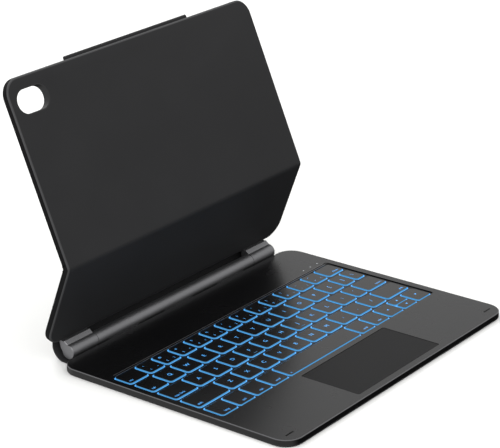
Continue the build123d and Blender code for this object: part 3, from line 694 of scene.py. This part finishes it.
legend_rows = {
    "keys_upper_letter_row": "QWERTYUIOP[]\\",
    "keys_home_row": "ASDFGHJKL;'",
    "keys_lower_letter_row": "ZXCVBNM,./",
}
number_digits = "1234567890-="
number_symbols = "!@#$%^&*()_+"
number_third_marks = "~|<>[]{};:/?"
word_rows = {
    "keys_left_modifiers": ["lang", "ctrl", "opt", "cmd"],
    "keys_right_modifiers": ["cmd", "opt"],
}
word_keys = {
    "key_escape": ("esc", -1), "key_tab": ("tab", -1), "key_caps_lock": ("caps lock", -1),
    "key_left_shift": ("shift", -1), "key_delete": ("delete", 1), "key_return": ("return", 1),
    "key_right_shift": ("shift", 1),
}
arrow_keys = {"key_left_arrow": 90, "key_up_arrow": 0, "key_down_arrow": 180, "key_right_arrow": -90}


def cap_spans(node):
    """Left and right limits of each cap in a node, from its triangles."""
    mesh = nodes[node].data
    spans = []
    for polygon in mesh.polygons:
        xs = [mesh.vertices[index].co.x for index in polygon.vertices]
        spans.append((min(xs), max(xs)))
    merged = []
    for low, high in sorted(spans):
        if merged and low <= merged[-1][1]:
            merged[-1][1] = max(merged[-1][1], high)
        else:
            merged.append([low, high])
    return merged


def mark(text, size, x, base_y, top, anchor=0):
    """One legend as a thin raised mesh: anchor -1 starts at x, 0 centres on it, 1 ends at it."""
    bpy.ops.object.select_all(action="DESELECT")
    bpy.ops.object.text_add()
    legend = bpy.context.object
    legend.data.body = text
    legend.data.size = size
    legend.data.extrude = legend_thickness / 2
    legend.data.resolution_u = 2
    bpy.ops.object.convert(target="MESH")
    legend = bpy.context.object
    xs = [vertex.co.x for vertex in legend.data.vertices]
    edge = {-1: min(xs), 0: (min(xs) + max(xs)) / 2, 1: max(xs)}[anchor]
    legend.location = (x - edge, base_y, top)
    settle(legend)
    return legend


def arrow_mark(x, y, top, turn):
    """Small triangle that points the way of an arrow key."""
    bpy.ops.object.select_all(action="DESELECT")
    bpy.ops.mesh.primitive_circle_add(
        vertices=3, radius=1.15 * mm, fill_type="NGON", location=(x, y, top),
        rotation=(0, 0, math.radians(turn)))
    arrow = bpy.context.object
    settle(arrow)
    open_mesh(arrow)
    bpy.ops.mesh.select_all(action="SELECT")
    draw_on(Vector((0, 0, legend_thickness / 2)))
    close_mesh()
    return arrow


def finish_legends(node, marks):
    """Join a body's legends, close their seams, and let them ride on its keys."""
    legends = join_as("legends_" + node, marks)
    open_mesh(legends)
    close_mesh()
    legends.data.materials.clear()
    legends.data.materials.append(legend_light)
    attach(legends, node + "_body")


def make_legends():
    """Letters in the middle of their keys, words in near corners, three marks on the number keys."""
    for node, letters in legend_rows.items():
        low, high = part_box(node)
        base = (low.y + high.y) / 2 - letter_size * capital_share
        marks = [mark(letter, letter_size, (left + right) / 2, base, high.z)
                 for letter, (left, right) in zip(letters, cap_spans(node))]
        finish_legends(node, marks)
    inset = 1.6 * mm
    low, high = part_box("keys_number_row")
    marks = []
    number_marks = zip(number_digits, number_symbols, number_third_marks, cap_spans("keys_number_row"))
    for digit, symbol, third, (left, right) in number_marks:
        marks.append(mark(digit, small_size, left + 2.6 * inset, low.y + 1.6 * inset, high.z))
        marks.append(mark(symbol, small_size, left + 2.6 * inset, high.y - 2.7 * inset, high.z))
        marks.append(mark(third, small_size, right - 2 * inset, low.y + 1.6 * inset, high.z))
    finish_legends("keys_number_row", marks)
    for node, words in word_rows.items():
        low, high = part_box(node)
        marks = [mark(word, word_size, (left + right) / 2, low.y + inset * 1.4, high.z)
                 for word, (left, right) in zip(words, cap_spans(node))]
        finish_legends(node, marks)
    for node, (word, side) in word_keys.items():
        low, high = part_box(node)
        x = low.x + 1.4 * inset if side < 0 else high.x - 1.4 * inset
        finish_legends(node, [mark(word, word_size, x, low.y + inset * 1.4, high.z, side)])
    for node, turn in arrow_keys.items():
        low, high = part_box(node)
        middle_point = (low + high) / 2
        finish_legends(node, [arrow_mark(middle_point.x, middle_point.y, high.z, turn)])
    low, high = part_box("key_space")
    finish_legends("key_space", [mark("o", small_size, low.x + 2 * inset, low.y + inset, high.z)])


well_corner_room = 4 * mm
bead_width = 0.4 * mm
bead_height = 0.16 * mm
bead_round = 0.06 * mm
# how far each bead stands behind the film, and how far below the deck's top
well_bead_places = ((0.15 * mm, 0.25 * mm), (1.7 * mm, 0.0))


def make_well_beads():
    """Two fine raised beads along the back of the key well, one on each edge of its step, in bright metal that
    paints the highlight of the well's edges.
    """
    low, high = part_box("key_mask_film")
    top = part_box("deck_top_frame")[1].z
    length = high.x - low.x - 2 * well_corner_room
    beads = []
    for back, drop in well_bead_places:
        centre = Vector(((low.x + high.x) / 2, high.y + back, top - drop))
        bead = add_box("well_bead", centre, (length, bead_width, bead_height))
        open_mesh(bead)
        bpy.ops.mesh.select_all(action="SELECT")
        round_edges(bead_round, 2)
        close_mesh()
        beads.append(bead)
    rim = join_as("well_edge_beads", beads)
    rim.data.materials.clear()
    # painted highlight: bright metal for the lit edges of the well
    rim.data.materials.append(bead_painted_highlight)
    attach(rim, "deck")


def make_home_bars():
    """Raised bars that the forefingers find on the home row."""
    low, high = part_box("keys_home_row")
    spans = cap_spans("keys_home_row")
    bars = []
    for index in (3, 6):
        left, right = spans[index]
        centre = Vector(((left + right) / 2, low.y + 2.2 * mm, high.z + 0.1 * mm))
        bar = add_box("home_bar", centre, (3.2 * mm, 0.5 * mm, 0.24 * mm))
        open_mesh(bar)
        pick(bar, "edges", lambda edge: is_sharp(edge) and middle(edge).z > centre.z)
        round_edges(0.1 * mm, 2)
        close_mesh()
        bars.append(bar)
    piece = join_as("home_row_bars", bars)
    smooth(piece)
    dress(piece, "keycap_plastic")
    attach(piece, "keys_home_row_body")


# ---------------------------------------------------------------- stage, lights and camera
def make_stage():
    """Pale seamless floor."""
    bpy.ops.object.select_all(action="DESELECT")
    bpy.ops.mesh.primitive_plane_add(size=12, location=(0, 0, 0))
    floor = bpy.context.object
    name_piece(floor, "studio_floor")
    material, tree, shader, place = start_material("matte_paper", Roughness=0.9, Specular_IOR_Level=0.1)
    two_tone(tree, shader, place, "#f4f4f2", "#f8f8f7", 0.5)
    floor.data.materials.append(material)
    # the floor takes shadows but throws no light of its own back at the object
    floor.visible_diffuse = False
    floor.visible_glossy = False


def add_softbox(name, place, aim, size, power):
    """Rectangular studio light turned towards a point."""
    light = bpy.data.lights.new(name, "AREA")
    light.shape = "RECTANGLE"
    light.size, light.size_y = size
    light.energy = power
    lamp = bpy.data.objects.new(name, light)
    bpy.context.scene.collection.objects.link(lamp)
    lamp.location = place
    lamp.rotation_mode = "QUATERNION"
    lamp.rotation_quaternion = (Vector(aim) - Vector(place)).to_track_quat("-Z", "Y")


# strength of the room's light from above, and from below on each side
high_light = 0.85
low_left_light = 0.8
low_right_light = 0.03
# directions between which each pair of strengths blends
side_blend = (-0.35, 0.35)
height_blend = (-0.2, 0.12)
seen_light = 1.0


def make_room():
    """Room whose light is dim low down on the right; the camera itself sees it as plain white."""
    world = bpy.data.worlds.new("white_room")
    world.use_nodes = True
    tree = world.node_tree
    room = tree.nodes["Background"]
    place = add(tree, "ShaderNodeTexCoord")
    way = add(tree, "ShaderNodeSeparateXYZ", links={"Vector": (place, "Generated")})
    low = add(tree, "ShaderNodeMapRange", {
        "From Min": side_blend[0], "From Max": side_blend[1],
        "To Min": low_left_light, "To Max": low_right_light,
    }, {"Value": (way, "X")}, interpolation_type="SMOOTHSTEP")
    high = add(tree, "ShaderNodeMapRange", {"From Min": height_blend[0], "From Max": height_blend[1]},
               {"Value": (way, "Z")}, interpolation_type="SMOOTHSTEP")
    light = add(tree, "ShaderNodeMix", {"B": high_light},
                {"Factor": (high, "Result"), "A": (low, "Result")}, data_type="FLOAT")
    path = add(tree, "ShaderNodeLightPath")
    shown = add(tree, "ShaderNodeMix", {"B": seen_light},
                {"Factor": (path, "Is Camera Ray"), "A": (light, "Result")}, data_type="FLOAT")
    room.inputs["Color"].default_value = (1, 1, 1, 1)
    tree.links.new(shown.outputs["Result"], room.inputs["Strength"])
    bpy.context.scene.world = world


def make_lights():
    """The room, a large softbox above, one at the left, and one behind that the back shades."""
    make_room()
    add_softbox("overhead_softbox", (0.1, 0.1, 1.6), (0, 0, 0), (1.6, 1.2), 5)
    add_softbox("left_softbox", (-1.3, -0.5, 0.9), (0, 0, 0.08), (0.8, 0.8), 8)
    add_softbox("rear_softbox", (0.35, 1.1, 1.3), (0, -0.05, 0), (1.2, 0.8), 9)
    bpy.context.scene.view_settings.view_transform = "Standard"


camera_azimuth = -52.8
camera_elevation = 21.4
camera_roll = -0.2
camera_distance = 1.3522
camera_aim_offset = Vector((-0.0096, 0.0023, -0.0124))
camera_lens = 148.5
camera_sensor = 36.0


def make_camera():
    """Camera low at the left front corner, aimed a little under the middle of the object."""
    azimuth = math.radians(camera_azimuth)
    elevation = math.radians(camera_elevation)
    back = Vector((
        math.sin(azimuth) * math.cos(elevation),
        -math.cos(azimuth) * math.cos(elevation),
        math.sin(elevation),
    ))
    lens = bpy.data.cameras.new("studio_camera")
    lens.lens = camera_lens
    lens.sensor_width = camera_sensor
    lens.clip_start, lens.clip_end = 0.01, 30
    camera = bpy.data.objects.new("studio_camera", lens)
    bpy.context.scene.collection.objects.link(camera)
    centre = (cad_box[0] + cad_box[1]) / 2
    camera.location = centre + camera_aim_offset + back * camera_distance
    camera.rotation_mode = "QUATERNION"
    roll = Quaternion((0, 0, 1), math.radians(camera_roll))
    camera.rotation_quaternion = (-back).to_track_quat("-Z", "Y") @ roll
    bpy.context.scene.camera = camera


make_camera()
make_lights()
make_stage()
finish_cad_nodes()
make_back_cover()
make_spine()
make_stylus_flap()
make_legends()
make_home_bars()
make_well_beads()
